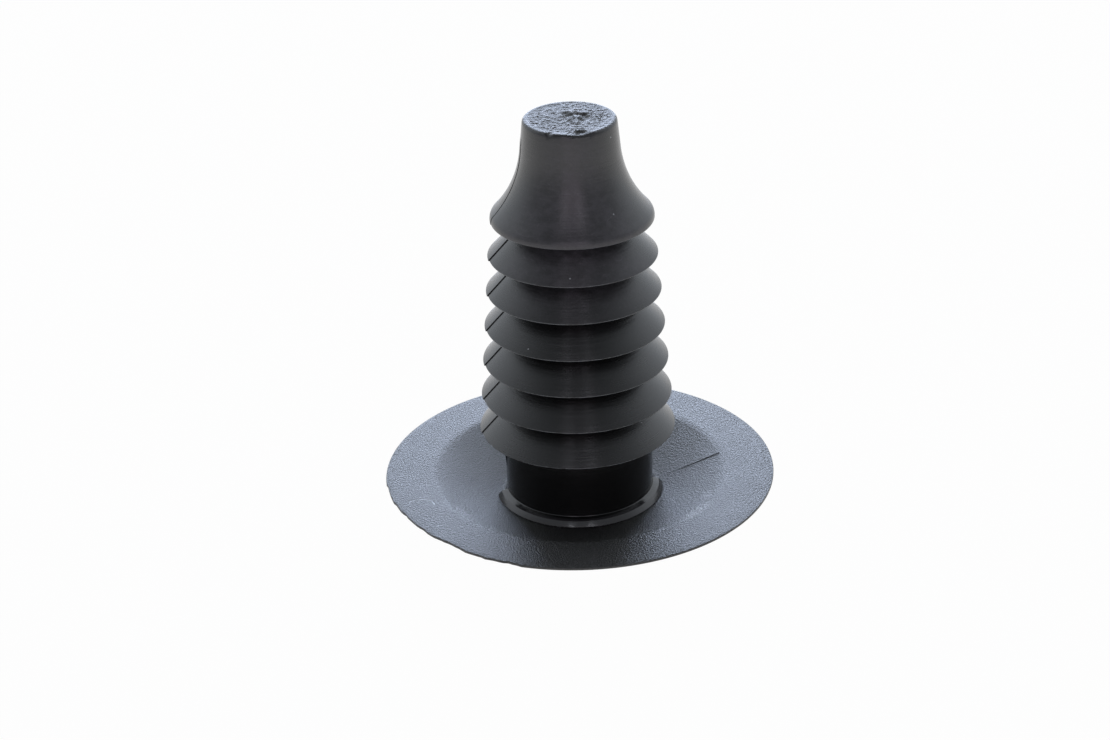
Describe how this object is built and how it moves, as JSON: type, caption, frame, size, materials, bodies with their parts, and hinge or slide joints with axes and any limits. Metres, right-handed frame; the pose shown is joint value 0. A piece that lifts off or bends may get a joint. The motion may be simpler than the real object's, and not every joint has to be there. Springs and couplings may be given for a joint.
{
  "type": "fir-tree trim clip",
  "caption": "One-piece black plastic push-in trim clip: a dished round head, a plain neck and a tapered stem ringed with fins under a flared blunt nose.",
  "frame": {"origin": "centre of the small flat on the crown of the head, the lowest point as the clip stands", "axes": "+Z along the stem towards the nose; the small collar at the foot of the neck is on the -Y side"},
  "size_m": [0.02, 0.02, 0.0214],
  "materials": {
    "black_plastic": "satin moulded black plastic, finely spark-eroded on the head"
  },
  "bodies": {
    "root": {"fir_tree_clip": "black_plastic"}
  },
  "joints": []
}
